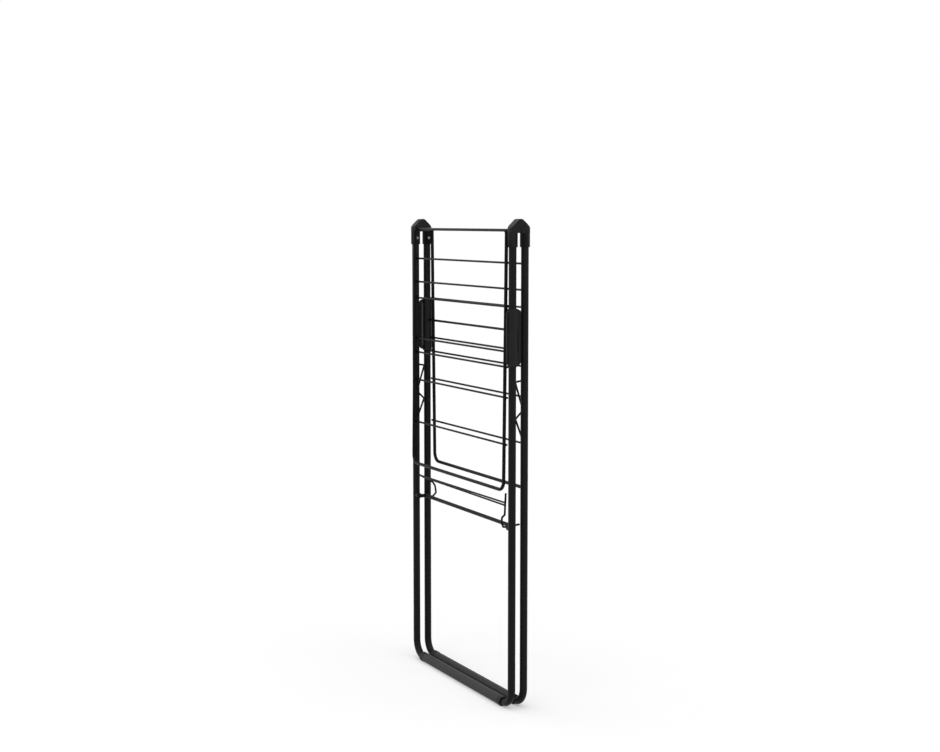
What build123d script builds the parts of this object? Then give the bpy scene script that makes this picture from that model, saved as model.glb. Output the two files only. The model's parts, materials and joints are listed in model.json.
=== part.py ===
import math
import os

from build123d import *

# Driving dimensions, millimetres
total_height = 1283.0
frame_width = 568.0
leg_spacing = 36.0
leg_diameter = 20.0
leg_wall = 1.0
leg_bend = 42.0
foot_wall = 2.8
foot_diameter = leg_diameter + 2 * foot_wall
foot_collar = 16.0
collar_wall = 0.8
wing_rod = 9.2
wing_bend = 25.0
wing_lean = 0.6
wire_diameter = 5.5
hanger_wire = 5.2
top_rod_diameter = 7.6
stay_rod = 10.5
hook_wire = 5.4
thin_wire = 4.8
knuckle_radius = 11.0
pin_diameter = 6.0
wing_length = 669.3
wire_drops = (80.9, 147.1, 193.1, 308.9, 348.6, 427.9, 549.9)
saw_drop = 384.0
tooth = 94.9
plate_drop = 197.4
plate_length = 148.8
cross_drop = 258.3
stay_drop = 99.0
pivot_diameter = 5.0
running_gap = 0.05
free_gap = 0.3

# Positions that follow from them
half_width = frame_width / 2
leg_y = leg_spacing / 2
leg_radius = leg_diameter / 2
foot_radius = foot_diameter / 2
bar_z = foot_radius - foot_wall * 0.3
cap_wall = 3.0
cap_half = leg_radius + cap_wall
cap_reach = leg_y + cap_half
hinge_z = total_height - knuckle_radius
shoulder_z = total_height - 25.0
slot_z = total_height - 36.0
leg_top = total_height - 40.0
sleeve_z = total_height - 72.0
rod_z = total_height - 29.0
inner_face = half_width - cap_half
wing_x = inner_face + 1.5 - wing_rod / 2
pivot_y = leg_y + leg_radius - 1.0
pivot_z = total_height - 31.0
wing_bottom = pivot_z - wing_length
wire_heights = [pivot_z - drop for drop in wire_drops]
wire_inset = (wing_rod + wire_diameter) / 2 - 0.75
plate_high = pivot_z - plate_drop
plate_low = plate_high - plate_length
cross_z = pivot_z - cross_drop
stay_z = wing_bottom - stay_drop
made = {}


def keep(name, shape):
    shape.label = name
    made[name] = shape


def bent_rod(points, bend, diameter, hole=0.0):
    with BuildPart() as rod:
        with BuildLine() as path:
            FilletPolyline(*points, radius=bend)
        with BuildSketch(Plane(origin=path.line @ 0, z_dir=path.line % 0)):
            Circle(diameter / 2)
            if hole > 0:
                Circle(hole / 2, mode=Mode.SUBTRACT)
        sweep()
    return rod.part


def rod_x(x0, x1, y, z, diameter):
    low = min(x0, x1)
    with BuildPart() as rod:
        with BuildSketch(Plane(origin=(low, y, z), x_dir=(0, 1, 0), z_dir=(1, 0, 0))):
            Circle(diameter / 2)
        extrude(amount=abs(x1 - x0))
    return rod.part


def straight_rod(start, end, diameter):
    line = Vector(*end) - Vector(*start)
    with BuildPart() as rod:
        with BuildSketch(Plane(origin=start, z_dir=line)):
            Circle(diameter / 2)
        extrude(amount=line.length)
    return rod.part


def rod_z_axis(x, y, z0, z1, diameter):
    with BuildPart() as rod:
        with BuildSketch(Plane(origin=(x, y, z0))):
            Circle(diameter / 2)
        extrude(amount=z1 - z0)
    return rod.part


def profile_x(x0, x1, points):
    low = min(x0, x1)
    with BuildPart() as block:
        with BuildSketch(Plane(origin=(low, 0, 0), x_dir=(0, 1, 0), z_dir=(1, 0, 0))):
            with BuildLine():
                Polyline(*points, close=True)
            make_face()
        extrude(amount=abs(x1 - x0))
    return block.part


def turn_half(shape):
    return shape.rotate(Axis.Z, 180)


# Leg frames
def leg_frame(y):
    points = [
        (-half_width, y, leg_top),
        (-half_width, y, bar_z),
        (half_width, y, bar_z),
        (half_width, y, leg_top),
    ]
    return bent_rod(points, leg_bend, leg_diameter, leg_diameter - 2 * leg_wall)


front_leg = leg_frame(-leg_y)
rear_leg = leg_frame(leg_y)
keep("front_leg_frame", front_leg)
keep("rear_leg_frame", rear_leg)


# Hinge cap halves: each half carries its own knuckle and clears the other one
def cap_half_shape(side, depth):
    x_out = side * (half_width + cap_half)
    x_in = side * (half_width - cap_half)
    dist = math.hypot(cap_reach, hinge_z - shoulder_z)
    start = math.atan2(shoulder_z - hinge_z, cap_reach)
    angle = start + math.acos(knuckle_radius / dist)
    touch_y = knuckle_radius * math.cos(angle)
    touch_z = hinge_z + knuckle_radius * math.sin(angle)
    points = [
        (depth * cap_reach, slot_z),
        (depth * cap_reach, shoulder_z),
        (depth * touch_y, touch_z),
        (depth * 0.2, hinge_z),
        (depth * 0.2, slot_z),
    ]
    body = profile_x(x_in, x_out, points)
    edges = body.edges().filter_by(Axis.Z)
    outer = [e for e in edges if abs(abs(e.center().Y) - cap_reach) < 0.1]
    body = fillet(outer, cap_half - 0.6)
    sleeve = rod_z_axis(side * half_width, depth * leg_y, sleeve_z, slot_z + 0.5, 2 * cap_half)
    body = body + sleeve
    if depth < 0:
        own = (side * (half_width + free_gap / 2), x_out)
        other = (x_in, side * (half_width + free_gap / 2))
        hole = pin_diameter
    else:
        own = (x_in, side * (half_width - free_gap / 2))
        other = (side * (half_width - free_gap / 2), x_out)
        hole = pin_diameter + 2 * running_gap
    body = body - rod_x(other[0], other[1], 0, hinge_z, 2 * (knuckle_radius + free_gap))
    body = body + rod_x(own[0], own[1], 0, hinge_z, 2 * knuckle_radius)
    body = body - rod_x(x_in, x_out, 0, hinge_z, hole)
    body = body - rod_z_axis(side * half_width, depth * leg_y, sleeve_z - 1, leg_top, leg_diameter)
    body = body - rod_x(x_in, side * (inner_face + 11), depth * pivot_y, pivot_z, pivot_diameter)
    if depth < 0:
        body = body - rod_x(x_in, side * (inner_face + 5), -leg_y, rod_z, top_rod_diameter)
    return body


for side, word in ((-1, "left"), (1, "right")):
    keep(word + "_front_cap", cap_half_shape(side, -1))
    keep(word + "_rear_cap", cap_half_shape(side, 1))

# Pins and screws
pins = []
for side in (-1, 1):
    pins.append(rod_x(side * inner_face, side * (half_width + cap_half), 0, hinge_z, pin_diameter))
    pins.append(rod_x(side * (half_width + cap_half), side * (half_width + cap_half + 1.2), 0, hinge_z, 10))
left_pin = pins[0] + pins[1]
right_pin = pins[2] + pins[3]
keep("hinge_pins", Compound([left_pin.solid(), right_pin.solid()]))


def screw_set(depth):
    heads = []
    for side in (-1, 1):
        heads.append(rod_x(side * inner_face, side * (inner_face - 0.9), depth * leg_y, sleeve_z + 18, 7).solid())
    return Compound(heads)


keep("front_cap_screws", screw_set(-1))
keep("rear_cap_screws", screw_set(1))

# Top hanging rod
keep("top_rod", rod_x(-(inner_face + 5), inner_face + 5, -leg_y, rod_z, top_rod_diameter))


# Wing pivot pins
def pivot_set(depth):
    pieces = []
    for side in (-1, 1):
        shank_end = side * (wing_x - wing_rod / 2 - free_gap)
        shank = rod_x(side * (inner_face + 11), shank_end, depth * pivot_y, pivot_z, pivot_diameter)
        head = rod_x(shank_end, shank_end - side * 1.5, depth * pivot_y, pivot_z, pivot_diameter + 3.4)
        pieces.append((shank + head).solid())
    return Compound(pieces)


keep("front_wing_pivots", pivot_set(-1))
keep("rear_wing_pivots", pivot_set(1))


# Wings, drawn for the front and turned half round for the rear
wing_axis = Axis((0, -pivot_y, pivot_z), (1, 0, 0))


def lean(shape):
    return shape.rotate(wing_axis, -wing_lean)


def wing_frame():
    points = [
        (-wing_x, -pivot_y, pivot_z - pivot_diameter * 0.7),
        (-wing_x, -pivot_y, wing_bottom),
        (wing_x, -pivot_y, wing_bottom),
        (wing_x, -pivot_y, pivot_z - pivot_diameter * 0.7),
    ]
    body = bent_rod(points, wing_bend, wing_rod)
    for side in (-1, 1):
        x0 = side * (wing_x - wing_rod / 2 + 0.6)
        x1 = side * (wing_x + wing_rod * 0.3)
        body = body + rod_x(x0, x1, -pivot_y, pivot_z, pivot_diameter + 4)
        body = body - rod_x(x0 - side, x1 + side, -pivot_y, pivot_z, pivot_diameter + 2 * running_gap)
    return body


frame = wing_frame()


def wing_wires(drops):
    wires = []
    for z, drop in zip(wire_heights, drops):
        wire = rod_x(-wing_x - 2, wing_x + 2, -pivot_y + wire_inset, z - drop, wire_diameter) - frame
        wires.append(wire.solid())
    return Compound(wires)


# Saw-tooth hanger wire beside the left arm, two teeth
saw_top = pivot_z - saw_drop
saw_in = leg_y - 13.5
saw_points = [
    (-wing_x, -pivot_y, saw_top),
    (-wing_x, saw_in, saw_top - 4),
    (-wing_x, -pivot_y + 9, saw_top - 0.83 * tooth),
    (-wing_x, saw_in, saw_top - 1.06 * tooth),
    (-wing_x, -pivot_y, saw_top - 1.94 * tooth),
]
level_wires = wing_wires((0, 0, 0, 0, 0, 0, 0))
saw = bent_rod(saw_points, 3.5, hanger_wire) - frame - level_wires
saw = Part(saw.solids().sort_by(SortBy.VOLUME)[-1].wrapped)
front_frame = lean(frame)
front_wires = lean(level_wires)
rear_wires = lean(wing_wires((2.5, 4, 2.5, 0, 0, 0, 0)))
front_saw = lean(saw)
keep("front_wing_frame", front_frame)
keep("rear_wing_frame", turn_half(front_frame))
keep("front_wing_wires", front_wires)
keep("rear_wing_wires", turn_half(rear_wires))
keep("front_hanger_wire", front_saw)
keep("rear_hanger_wire", turn_half(front_saw))


# Side plates: a sleeve on one leg and a web across to the other
def side_plate():
    x = half_width
    sleeve = rod_z_axis(x, -leg_y, plate_low, plate_high, leg_diameter + 7)
    edge_y = leg_y - leg_radius - 0.6
    wing_side = leg_y + leg_radius + 8.0
    web = profile_x(x - 2, x + 2, [
        (-wing_side, plate_low + 12),
        (-wing_side, plate_high - 14),
        (-wing_side + 4, plate_high - 6),
        (-wing_side + 9, plate_high - 2),
        (edge_y - 9, plate_high - 2),
        (edge_y - 3, plate_high - 5),
        (edge_y, plate_high - 12),
        (edge_y, plate_low + 10),
        (edge_y - 6, plate_low + 4),
        (-wing_side + 7, plate_low + 4),
    ])
    rib = profile_x(x + 2, x + 5, [
        (-3.5, plate_low + 40),
        (-3.5, plate_low + 92),
        (1.5, plate_low + 90),
        (0.5, plate_low + 42),
    ])
    body = sleeve + web + rib
    return body - rod_z_axis(x, -leg_y, plate_low - 1, plate_high + 1, leg_diameter)


right_plate = side_plate()
left_plate = turn_half(right_plate)
keep("right_side_plate", right_plate)
keep("left_side_plate", left_plate)
cross = rod_x(-half_width, half_width, leg_y, cross_z, wire_diameter + 1) - rear_leg - left_plate
cross = cross.solids().sort_by(SortBy.VOLUME)[-1]
keep("rear_cross_wire", Part(cross.wrapped))

# Lower stay with its hooks, carried by clips on the front legs
lug_end = half_width - leg_radius - 9.0
crank_x = lug_end - 6.0
hook_x = crank_x - stay_rod / 2 - hook_wire / 2 - 2.0
stay_points = [
    (-(lug_end + 6), -leg_y, stay_z),
    (-crank_x, -leg_y, stay_z),
    (-crank_x, 0, stay_z),
    (crank_x, 0, stay_z),
    (crank_x, -leg_y, stay_z),
    (lug_end + 6, -leg_y, stay_z),
]
stay_bar = bent_rod(stay_points, stay_rod * 0.6, stay_rod)
left_points = [
    (-hook_x, 0, stay_z),
    (-hook_x, 18, stay_z - 2),
    (-hook_x, 28, stay_z + 8),
    (-hook_x, 25, stay_z + 28),
    (-hook_x, 18, stay_z + 39),
    (-hook_x, -25, stay_z + 64),
]
right_points = [
    (hook_x, 24, stay_z + 2),
    (hook_x, 0, stay_z),
    (hook_x, -24, stay_z - 1),
    (hook_x, -29, stay_z + 10),
    (hook_x, -28, stay_z + 25),
    (hook_x, -20, stay_z + 31),
    (hook_x, -17, stay_z + 88),
]
left_hook = bent_rod(left_points, hook_wire * 0.6, hook_wire) - stay_bar
right_hook = bent_rod(right_points, hook_wire * 0.6, hook_wire) - stay_bar
keep("stay_bar", stay_bar)
keep("stay_left_hook", Compound(left_hook.solids()))
keep("stay_right_hook", Compound(right_hook.solids()))
thin = []
for rise, left_y in ((63.0, -24.0), (56.0, -12.0)):
    wire = straight_rod((-hook_x, left_y, stay_z + rise), (hook_x, -18.6, stay_z + rise), thin_wire)
    wire = wire - left_hook - right_hook
    thin.append(wire.solids().sort_by(SortBy.VOLUME)[-1])
keep("stay_wires", Compound(thin))


def lug(side):
    body = rod_x(side * half_width, side * lug_end, -leg_y, stay_z, stay_rod + 5)
    body = body - rod_z_axis(side * half_width, -leg_y, stay_z - 20, stay_z + 20, leg_diameter)
    return body - rod_x(side * (lug_end + 6.3), side * lug_end, -leg_y, stay_z, stay_rod + 2 * running_gap)


keep("stay_clips", Compound([lug(-1).solid(), lug(1).solid()]))


# Foot sleeves along the floor bars, thicker at the ends, with a flat underside
def foot_sleeve(y):
    reach = half_width - leg_bend - 1
    body = rod_x(-reach, reach, y, bar_z, foot_diameter)
    for side in (-1, 1):
        body = body + rod_x(side * reach, side * (reach - foot_collar), y, bar_z, foot_diameter + 2 * collar_wall)
    body = body - rod_x(-reach, reach, y, bar_z, leg_diameter)
    with BuildPart() as below:
        with BuildSketch(Plane(origin=(0, y, 0))):
            Rectangle(frame_width, foot_diameter * 2)
        extrude(amount=-foot_diameter)
    return body - below.part


keep("front_feet", foot_sleeve(-leg_y))
keep("rear_feet", foot_sleeve(leg_y))

os.makedirs("parts", exist_ok=True)
for name, shape in made.items():
    export_step(shape, "parts/" + name + ".step")
print(len(made), "pieces written")
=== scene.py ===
import json
import math

import bpy
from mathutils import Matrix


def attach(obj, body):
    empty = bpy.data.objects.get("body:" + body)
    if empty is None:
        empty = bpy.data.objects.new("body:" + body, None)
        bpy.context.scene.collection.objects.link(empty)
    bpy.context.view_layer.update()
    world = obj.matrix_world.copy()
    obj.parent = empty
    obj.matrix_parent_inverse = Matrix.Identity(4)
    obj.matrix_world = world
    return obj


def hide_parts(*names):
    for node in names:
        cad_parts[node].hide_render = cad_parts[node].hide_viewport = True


# Camera fitted to the photograph's 940 by 752 frame
PHOTO_WIDTH = 940
FOCAL_PIXELS = 1543.0
SENSOR_WIDTH = 36.0
CAMERA_PLACE = (3.7183, -1.9469, 1.2808)
CAMERA_TURN = 62.2574
CAMERA_DROP = 5.7851

# Half the length of the foot sleeves between their end collars, in metres
COLLAR_START = 0.2248

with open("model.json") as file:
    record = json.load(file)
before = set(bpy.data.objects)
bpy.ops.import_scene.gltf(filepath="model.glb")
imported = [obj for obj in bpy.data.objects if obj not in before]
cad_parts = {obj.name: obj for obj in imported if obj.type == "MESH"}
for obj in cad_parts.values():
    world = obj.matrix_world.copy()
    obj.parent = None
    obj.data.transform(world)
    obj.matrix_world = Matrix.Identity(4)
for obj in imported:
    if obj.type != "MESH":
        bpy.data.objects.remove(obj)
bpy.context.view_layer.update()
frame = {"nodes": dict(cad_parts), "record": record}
nodes = frame["nodes"]
scene = bpy.context.scene
scene.view_settings.view_transform = "Standard"


def powder_coat(name, colour, roughness, grain, depth, gloss, stretch=(1, 1, 1)):
    """Painted steel or moulded plastic: fine grain in the surface and a faint change of tone."""
    material = bpy.data.materials.new(name)
    material.use_nodes = True
    tree = material.node_tree
    shader = tree.nodes["Principled BSDF"]
    coords = tree.nodes.new("ShaderNodeTexCoord")
    fine = tree.nodes.new("ShaderNodeTexNoise")
    fine.inputs["Scale"].default_value = grain
    fine.inputs["Detail"].default_value = 2.0
    tree.links.new(coords.outputs["Object"], fine.inputs["Vector"])
    shader.inputs["Specular IOR Level"].default_value = gloss
    broad = tree.nodes.new("ShaderNodeTexNoise")
    broad.inputs["Scale"].default_value = 9.0
    broad.inputs["Detail"].default_value = 3.0
    drawn = tree.nodes.new("ShaderNodeMapping")
    drawn.inputs["Scale"].default_value = stretch
    tree.links.new(coords.outputs["Object"], drawn.inputs["Vector"])
    tree.links.new(drawn.outputs["Vector"], broad.inputs["Vector"])
    tone = tree.nodes.new("ShaderNodeValToRGB")
    tone.color_ramp.elements[0].position = 0.3
    tone.color_ramp.elements[0].color = [c * 0.86 for c in colour] + [1]
    tone.color_ramp.elements[1].position = 0.7
    tone.color_ramp.elements[1].color = [c * 1.14 for c in colour] + [1]
    tree.links.new(broad.outputs["Fac"], tone.inputs["Fac"])
    tree.links.new(tone.outputs["Color"], shader.inputs["Base Color"])
    rough = tree.nodes.new("ShaderNodeMapRange")
    rough.inputs["To Min"].default_value = roughness - 0.05
    rough.inputs["To Max"].default_value = roughness + 0.05
    tree.links.new(fine.outputs["Fac"], rough.inputs["Value"])
    tree.links.new(rough.outputs["Result"], shader.inputs["Roughness"])
    bump = tree.nodes.new("ShaderNodeBump")
    bump.inputs["Strength"].default_value = depth
    bump.inputs["Distance"].default_value = 0.0004
    tree.links.new(fine.outputs["Fac"], bump.inputs["Height"])
    tree.links.new(bump.outputs["Normal"], shader.inputs["Normal"])
    return material


def darken_ends(material, start, dark):
    """Moulded end collars in a darker plastic, beyond a distance from the middle."""
    tree = material.node_tree
    base = tree.nodes["Principled BSDF"].inputs["Base Color"]
    tone = base.links[0].from_socket
    coords = tree.nodes.new("ShaderNodeTexCoord")
    parts = tree.nodes.new("ShaderNodeSeparateXYZ")
    tree.links.new(coords.outputs["Object"], parts.inputs[0])
    away = tree.nodes.new("ShaderNodeMath")
    away.operation = "ABSOLUTE"
    tree.links.new(parts.outputs["X"], away.inputs[0])
    beyond = tree.nodes.new("ShaderNodeMath")
    beyond.operation = "GREATER_THAN"
    beyond.inputs[1].default_value = start
    tree.links.new(away.outputs[0], beyond.inputs[0])
    pick = tree.nodes.new("ShaderNodeMix")
    pick.data_type = "RGBA"
    pick.inputs["B"].default_value = dark
    tree.links.new(beyond.outputs[0], pick.inputs["Factor"])
    tree.links.new(tone, pick.inputs["A"])
    tree.links.new(pick.outputs["Result"], base)


tube_coat = powder_coat("black_tube_coat", (0.0062, 0.0062, 0.0066), 0.36, 900.0, 0.2, 0.1)
wire_coat = powder_coat("black_wire_coat", (0.0042, 0.0042, 0.0045), 0.34, 900.0, 0.15, 0.07)
cap_plastic = powder_coat("dark_cap_plastic", (0.009, 0.009, 0.0094), 0.46, 1400.0, 0.3, 0.14)
# The flanges are coloured a lighter grey than the plates: a painted highlight along the plates' free
# edges.
flange_painted_highlight = powder_coat("grey_flange_painted_highlight", (0.045, 0.045, 0.046), 0.5, 1400.0, 0.3, 0.3)
foot_plastic = powder_coat(
    "dark_foot_plastic", (0.028, 0.028, 0.029), 0.6, 700.0, 0.6, 0.25, stretch=(0.4, 40, 40)
)
darken_ends(foot_plastic, COLLAR_START, (0.006, 0.006, 0.0062, 1))
screw_metal = powder_coat("grey_screw_coat", (0.3, 0.3, 0.305), 0.4, 1200.0, 0.15, 0.5)
coats = {
    "black_tube": tube_coat,
    "black_wire": wire_coat,
    "dark_plastic": cap_plastic,
    "foot_plastic": foot_plastic,
    "fastener": screw_metal,
}
slot_of = {entry["node"]: entry["material_slot"] for entry in frame["record"]["subparts"]}


def coat(piece, material):
    piece.data.materials.clear()
    piece.data.materials.append(material)


for node_name, piece in nodes.items():
    coat(piece, coats[slot_of[node_name]])
for node_name in ("front_wing_pivots", "rear_wing_pivots"):
    coat(nodes[node_name], tube_coat)
for node_name in ("front_wing_frame", "rear_wing_frame", "stay_bar"):
    coat(nodes[node_name], wire_coat)

# Added detail, in metres, on the same places as the solids
HALF_WIDTH = 0.284
LEG_Y = 0.018
CAP_INNER = 0.271
HINGE_Z = 1.272
SCREW_Z = 1.229
PIVOT_Y = 0.027
PIVOT_Z = 1.252
WING_X = 0.2679
WING_LEAN = math.radians(0.6)
WIRE_DROPS = (0.0809, 0.1471, 0.1931, 0.3089, 0.3486, 0.4279, 0.5499)
REAR_EXTRA = (0.0025, 0.004, 0.0025, 0.0, 0.0, 0.0, 0.0)
QUARTER = math.pi / 2


def choose(piece):
    """Leave only this piece selected and active."""
    bpy.ops.object.select_all(action="DESELECT")
    piece.select_set(True)
    bpy.context.view_layer.objects.active = piece


def settle(piece):
    """Put the piece's place, turn and size into its mesh."""
    choose(piece)
    bpy.ops.object.transform_apply(location=True, rotation=True, scale=True)


def open_on_faces(piece, wanted):
    """Open the piece in edit mode with the wanted faces selected."""
    choose(piece)
    bpy.ops.object.mode_set(mode="EDIT")
    bpy.ops.mesh.select_mode(type="FACE")
    bpy.ops.mesh.select_all(action="DESELECT")
    bpy.ops.object.mode_set(mode="OBJECT")
    for face in piece.data.polygons:
        face.select = wanted(face)
    bpy.ops.object.mode_set(mode="EDIT")


def close():
    bpy.ops.object.mode_set(mode="OBJECT")


def set_out(pattern, placings):
    """Copy a modelled piece to each place and turn, each copy with its own mesh, and join the copies."""
    made = []
    for place, turn in placings:
        twin = pattern.copy()
        twin.data = pattern.data.copy()
        twin.location = place
        twin.rotation_euler = turn
        scene.collection.objects.link(twin)
        made.append(twin)
    choose(made[0])
    for twin in made:
        twin.select_set(True)
    if len(made) > 1:
        bpy.ops.object.join()
    return made[0]


def fit(piece, name, material, body):
    """Finish a modelled piece and let it move with its body."""
    settle(piece)
    bpy.ops.object.mode_set(mode="EDIT")
    bpy.ops.mesh.select_all(action="SELECT")
    bpy.ops.mesh.normals_make_consistent(inside=False)
    close()
    bpy.ops.object.shade_smooth_by_angle(angle=math.radians(40))
    piece.name = name
    piece.data.name = name
    coat(piece, material)
    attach(piece, body)
    return piece


# Cap halves with a groove along the seam on their outer faces, round the hinge and down from it
CAP_OUTER = 0.297
SEAM_RADIUS = 0.01115
SEAM_HALF = 0.0009
SEAM_LOW = 1.243
SEAM_HIGH = 1.2615


def seam_cutter(side):
    """A ring round the hinge and a straight run below it."""
    bpy.ops.object.select_all(action="DESELECT")
    bpy.ops.mesh.primitive_torus_add(
        major_segments=96, minor_segments=12, major_radius=SEAM_RADIUS, minor_radius=SEAM_HALF,
        location=(side * CAP_OUTER, 0, HINGE_Z), rotation=(0, QUARTER, 0)
    )
    ring = bpy.context.object
    bpy.ops.object.select_all(action="DESELECT")
    bpy.ops.mesh.primitive_cylinder_add(
        vertices=12, radius=SEAM_HALF, depth=SEAM_HIGH - SEAM_LOW,
        location=(side * CAP_OUTER, 0, (SEAM_LOW + SEAM_HIGH) / 2)
    )
    run = bpy.context.object
    choose(ring)
    run.select_set(True)
    bpy.ops.object.join()
    settle(ring)
    return ring


def grooved_cap(node_name, side, body):
    """A merged copy of a cap half with its seam groove cut, which stands for that solid."""
    cap = bpy.data.objects.new(node_name + "_grooved", nodes[node_name].data.copy())
    scene.collection.objects.link(cap)
    choose(cap)
    bpy.ops.object.mode_set(mode="EDIT")
    bpy.ops.mesh.select_all(action="SELECT")
    bpy.ops.mesh.remove_doubles(threshold=0.00001)
    close()
    cutter = seam_cutter(side)
    cut = cap.modifiers.new("seam", "BOOLEAN")
    cut.operation = "DIFFERENCE"
    cut.solver = "EXACT"
    cut.use_self = True
    cut.object = cutter
    choose(cap)
    bpy.ops.object.modifier_apply(modifier="seam")
    bpy.data.objects.remove(cutter)
    fit(cap, node_name + "_grooved", cap_plastic, body)
    bpy.ops.object.mode_set(mode="EDIT")
    bpy.ops.mesh.select_all(action="SELECT")
    bpy.ops.mesh.dissolve_limited(angle_limit=math.radians(0.5))
    close()
    even = cap.modifiers.new("even_shading", "WEIGHTED_NORMAL")
    even.weight = 100
    even.keep_sharp = True
    bpy.ops.object.modifier_apply(modifier="even_shading")
    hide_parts(node_name)


for label, side in (("left", -1), ("right", 1)):
    grooved_cap(label + "_front_cap", side, "front")
    grooved_cap(label + "_rear_cap", side, "rear")

# Pan-head screws with a driver recess on the inner faces of the caps
SCREW_RADIUS = 0.0035
SCREW_HEIGHT = 0.0009
RECESS_LENGTH = 0.0036
RECESS_WIDTH = 0.0008
RECESS_DEPTH = 0.0006


def recess_cutter():
    """Two crossed blades, narrower towards the point."""
    bpy.ops.object.select_all(action="DESELECT")
    bpy.ops.mesh.primitive_cube_add(
        size=1, location=(0, 0, SCREW_HEIGHT), scale=(RECESS_LENGTH, RECESS_WIDTH, 2 * RECESS_DEPTH)
    )
    blade = bpy.context.object
    settle(blade)
    open_on_faces(blade, lambda face: face.normal.z < -0.9)
    bpy.ops.transform.resize(value=(0.55, 0.55, 1), center_override=(0, 0, SCREW_HEIGHT - RECESS_DEPTH))
    close()
    cutter = set_out(blade, [((0, 0, 0), (0, 0, 0)), ((0, 0, 0), (0, 0, QUARTER))])
    bpy.data.objects.remove(blade)
    return cutter


def cap_screw():
    """One screw head that stands up along Z."""
    bpy.ops.object.select_all(action="DESELECT")
    bpy.ops.mesh.primitive_cylinder_add(
        vertices=40, radius=SCREW_RADIUS, depth=SCREW_HEIGHT, location=(0, 0, SCREW_HEIGHT / 2)
    )
    screw = bpy.context.object
    settle(screw)
    open_on_faces(screw, lambda face: face.normal.z > 0.9)
    bpy.ops.mesh.bevel(offset=0.0005, segments=3, affect="EDGES")
    close()
    cutter = recess_cutter()
    cut = screw.modifiers.new("recess", "BOOLEAN")
    cut.operation = "DIFFERENCE"
    cut.solver = "EXACT"
    cut.use_self = True
    cut.object = cutter
    choose(screw)
    bpy.ops.object.modifier_apply(modifier="recess")
    bpy.data.objects.remove(cutter)
    return screw


screw = cap_screw()
for end, y in (("front", -LEG_Y), ("rear", LEG_Y)):
    pair = [((side * CAP_INNER, y, SCREW_Z), (0, -side * QUARTER, 0)) for side in (-1, 1)]
    screws = fit(set_out(screw, pair), end + "_screws_recessed", screw_metal, end)
    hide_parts(end + "_cap_screws")
bpy.data.objects.remove(screw)

# Hinge pins with a rounded, dimpled head
PIN_RADIUS = 0.003
PIN_LENGTH = 0.026
HEAD_RADIUS = 0.005
HEAD_HEIGHT = 0.0012


def hinge_pin():
    """One pin that stands up along Z with its head on top."""
    bpy.ops.object.select_all(action="DESELECT")
    bpy.ops.mesh.primitive_cylinder_add(
        vertices=40, radius=PIN_RADIUS, depth=PIN_LENGTH, location=(0, 0, PIN_LENGTH / 2)
    )
    pin = bpy.context.object
    settle(pin)
    open_on_faces(pin, lambda face: face.normal.z < -0.9)
    bpy.ops.mesh.bevel(offset=0.0004, segments=2, affect="EDGES")
    close()
    open_on_faces(pin, lambda face: face.normal.z > 0.9)
    wider = HEAD_RADIUS / PIN_RADIUS
    bpy.ops.mesh.extrude_region_move(TRANSFORM_OT_translate={"value": (0, 0, 0)})
    bpy.ops.transform.resize(value=(wider, wider, 1), center_override=(0, 0, PIN_LENGTH))
    bpy.ops.mesh.extrude_region_move(TRANSFORM_OT_translate={"value": (0, 0, HEAD_HEIGHT)})
    bpy.ops.mesh.bevel(offset=0.0006, segments=4, affect="EDGES")
    close()
    open_on_faces(pin, lambda face: face.normal.z > 0.99 and face.center.z > PIN_LENGTH + 0.001)
    bpy.ops.mesh.inset(thickness=0.0018)
    bpy.ops.mesh.inset(thickness=0.0008, depth=-0.0004)
    close()
    return pin


pin = hinge_pin()
pair = [((side * CAP_INNER, 0, HINGE_Z), (0, side * QUARTER, 0)) for side in (-1, 1)]
pins = fit(set_out(pin, pair), "hinge_pins_domed", cap_plastic, "front")
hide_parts("hinge_pins")
bpy.data.objects.remove(pin)

# Weld beads where the wires meet the wing frames
BEAD_SIZE = (0.0030, 0.0016, 0.0015)
BEAD_INSET = 0.0044
BEAD_STEP = 0.0021
BEAD_OVERLAP = 0.0008
BEAD_TURN = 0.9


def weld_bead():
    """One small uneven bead of weld under the paint."""
    bpy.ops.object.select_all(action="DESELECT")
    bpy.ops.mesh.primitive_ico_sphere_add(subdivisions=3, radius=1, scale=BEAD_SIZE)
    bead = bpy.context.object
    settle(bead)
    bpy.ops.object.mode_set(mode="EDIT")
    bpy.ops.mesh.select_all(action="SELECT")
    bpy.ops.transform.vertex_random(offset=0.0004, uniform=0, normal=1, seed=4)
    bpy.ops.mesh.vertices_smooth(factor=0.5, repeat=2)
    close()
    return bead


def leaned(inset, drop):
    """Place on the front wing, inset towards the legs and below its hinge."""
    y = -PIVOT_Y + inset * math.cos(WING_LEAN) - drop * math.sin(WING_LEAN)
    z = PIVOT_Z - inset * math.sin(WING_LEAN) - drop * math.cos(WING_LEAN)
    return y, z


bead = weld_bead()
for wing, facing, extras in (("front_wing", 1, (0.0,) * 7), ("rear_wing", -1, REAR_EXTRA)):
    placings = []
    for drop, extra in zip(WIRE_DROPS, extras):
        for side in (-1, 1):
            for step in (-BEAD_STEP, BEAD_STEP):
                y, z = leaned(BEAD_INSET, drop + extra + step)
                turn = BEAD_TURN * len(placings)
                placings.append(((side * (WING_X - BEAD_OVERLAP), facing * y, z), (turn, 0, 0)))
    fit(set_out(bead, placings), wing + "_welds", wire_coat, wing)
bpy.data.objects.remove(bead)

# Raised lines moulded along the foot sleeves
FOOT_Z = 0.01196
FOOT_RADIUS = 0.0128
RIB_HALF = 0.2235
RIB_SIZE = 0.0009


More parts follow.
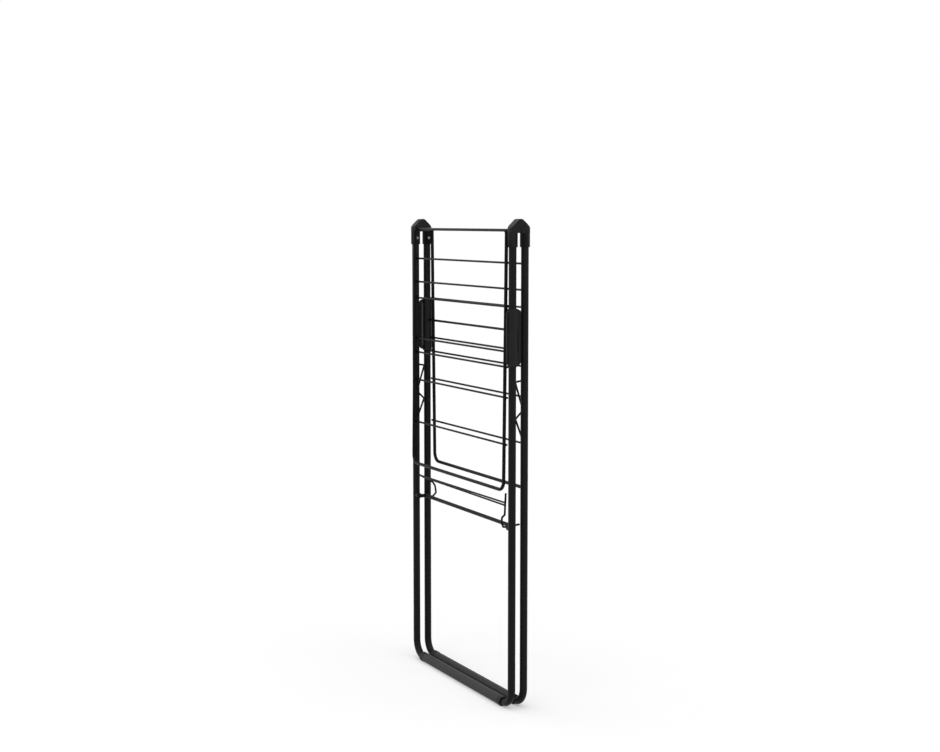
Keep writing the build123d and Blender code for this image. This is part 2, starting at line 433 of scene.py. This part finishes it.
def foot_rib():
    """One line of moulding along X with rounded ends."""
    bpy.ops.object.select_all(action="DESELECT")
    bpy.ops.mesh.primitive_cylinder_add(
        vertices=16, radius=RIB_SIZE, depth=2 * RIB_HALF, rotation=(0, QUARTER, 0)
    )
    rib = bpy.context.object
    settle(rib)
    open_on_faces(rib, lambda face: abs(face.normal.x) > 0.9)
    bpy.ops.mesh.bevel(offset=0.0007, segments=3, affect="EDGES")
    close()
    return rib


rib = foot_rib()
for end, y, facing in (("front", -LEG_Y, 1), ("rear", LEG_Y, -1)):
    placings = []
    for angle in (math.radians(64), math.radians(176)):
        rib_y = y + facing * FOOT_RADIUS * math.cos(angle)
        rib_z = FOOT_Z + FOOT_RADIUS * math.sin(angle)
        placings.append(((0, rib_y, rib_z), (0, 0, 0)))
    fit(set_out(rib, placings), end + "_foot_ribs", foot_plastic, end)
bpy.data.objects.remove(rib)

# Stiffening flange on the inner face of each side plate
FLANGE_LOW = 0.916
FLANGE_HIGH = 1.043
FLANGE_REACH = 0.0048
FLANGE_WIDTH = 0.0058
FLANGE_SINK = 0.0018


def plate_flange():
    """One upright flange that faces -X, drawn in towards its free edge and rounded there."""
    tall = FLANGE_HIGH - FLANGE_LOW
    bpy.ops.object.select_all(action="DESELECT")
    bpy.ops.mesh.primitive_cube_add(
        size=1, location=(-FLANGE_REACH / 2, 0, 0), scale=(FLANGE_REACH, FLANGE_WIDTH, tall)
    )
    flange = bpy.context.object
    settle(flange)
    open_on_faces(flange, lambda face: face.normal.x < -0.9)
    bpy.ops.transform.resize(value=(1, 0.86, 0.93), center_override=(-FLANGE_REACH, 0, 0))
    bpy.ops.mesh.bevel(offset=0.0014, segments=4, affect="EDGES")
    close()
    return flange


flange = plate_flange()
for label, side, body in (("left", -1, "rear"), ("right", 1, "front")):
    place = (side * (HALF_WIDTH - FLANGE_SINK), 0, (FLANGE_LOW + FLANGE_HIGH) / 2)
    turn = (0, 0, 0 if side > 0 else math.pi)
    fit(set_out(flange, [(place, turn)]), label + "_plate_flange", flange_painted_highlight, body)
bpy.data.objects.remove(flange)


# Floor and surroundings
FLOOR_LIFT = 0.29
FILL_LEVEL = 0.42


def white_rays(tree):
    """1 for the rays that should find a white background: camera, glossy and transmission."""
    path = tree.nodes.new("ShaderNodeLightPath")
    first = tree.nodes.new("ShaderNodeMath")
    first.operation = "MAXIMUM"
    tree.links.new(path.outputs["Is Camera Ray"], first.inputs[0])
    tree.links.new(path.outputs["Is Glossy Ray"], first.inputs[1])
    both = tree.nodes.new("ShaderNodeMath")
    both.operation = "MAXIMUM"
    tree.links.new(first.outputs[0], both.inputs[0])
    tree.links.new(path.outputs["Is Transmission Ray"], both.inputs[1])
    return both.outputs[0]


def floor_material():
    material = bpy.data.materials.new("white_floor")
    material.use_nodes = True
    tree = material.node_tree
    tree.nodes.clear()
    out = tree.nodes.new("ShaderNodeOutputMaterial")
    matte = tree.nodes.new("ShaderNodeBsdfDiffuse")
    matte.inputs["Color"].default_value = (0.8, 0.8, 0.8, 1)
    lift = tree.nodes.new("ShaderNodeEmission")
    strength = tree.nodes.new("ShaderNodeMath")
    strength.operation = "MULTIPLY"
    strength.inputs[1].default_value = FLOOR_LIFT
    tree.links.new(white_rays(tree), strength.inputs[0])
    tree.links.new(strength.outputs[0], lift.inputs["Strength"])
    both = tree.nodes.new("ShaderNodeAddShader")
    tree.links.new(matte.outputs[0], both.inputs[0])
    tree.links.new(lift.outputs[0], both.inputs[1])
    tree.links.new(both.outputs[0], out.inputs["Surface"])
    return material


bpy.ops.object.select_all(action="DESELECT")
bpy.ops.mesh.primitive_plane_add(size=80, location=(0, 0, 0))
floor = bpy.context.object
floor.name = "studio_floor"
floor.data.materials.append(floor_material())

world = bpy.data.worlds.new("studio_white")
scene.world = world
world.use_nodes = True
sky = world.node_tree
shine = sky.nodes["Background"]
shine.inputs["Color"].default_value = (1, 1, 1, 1)
level = sky.nodes.new("ShaderNodeMapRange")
level.inputs["To Min"].default_value = FILL_LEVEL
level.inputs["To Max"].default_value = 1.0
sky.links.new(white_rays(sky), level.inputs["Value"])
sky.links.new(level.outputs["Result"], shine.inputs["Strength"])


def wide_sun(name, tilt, turn, spread, strength):
    """A far light with soft shadows, so that the floor is lit evenly all over."""
    light = bpy.data.lights.new(name, "SUN")
    light.energy = strength
    light.angle = math.radians(spread)
    lamp = bpy.data.objects.new(name, light)
    scene.collection.objects.link(lamp)
    lamp.rotation_euler = (math.radians(tilt), 0, math.radians(turn))
    return lamp


wide_sun("key_light", 48, -28, 90, 0.9)
wide_sun("overhead_light", 20, 100, 70, 0.88)
wide_sun("right_light", 72, 100, 30, 0.35)

# Camera
lens = bpy.data.cameras.new("photo_camera")
lens.sensor_width = SENSOR_WIDTH
lens.lens = FOCAL_PIXELS / PHOTO_WIDTH * SENSOR_WIDTH
lens.clip_end = 200
camera = bpy.data.objects.new("photo_camera", lens)
scene.collection.objects.link(camera)
camera.location = CAMERA_PLACE
camera.rotation_euler = (math.radians(90 - CAMERA_DROP), 0, math.radians(CAMERA_TURN))
scene.camera = camera
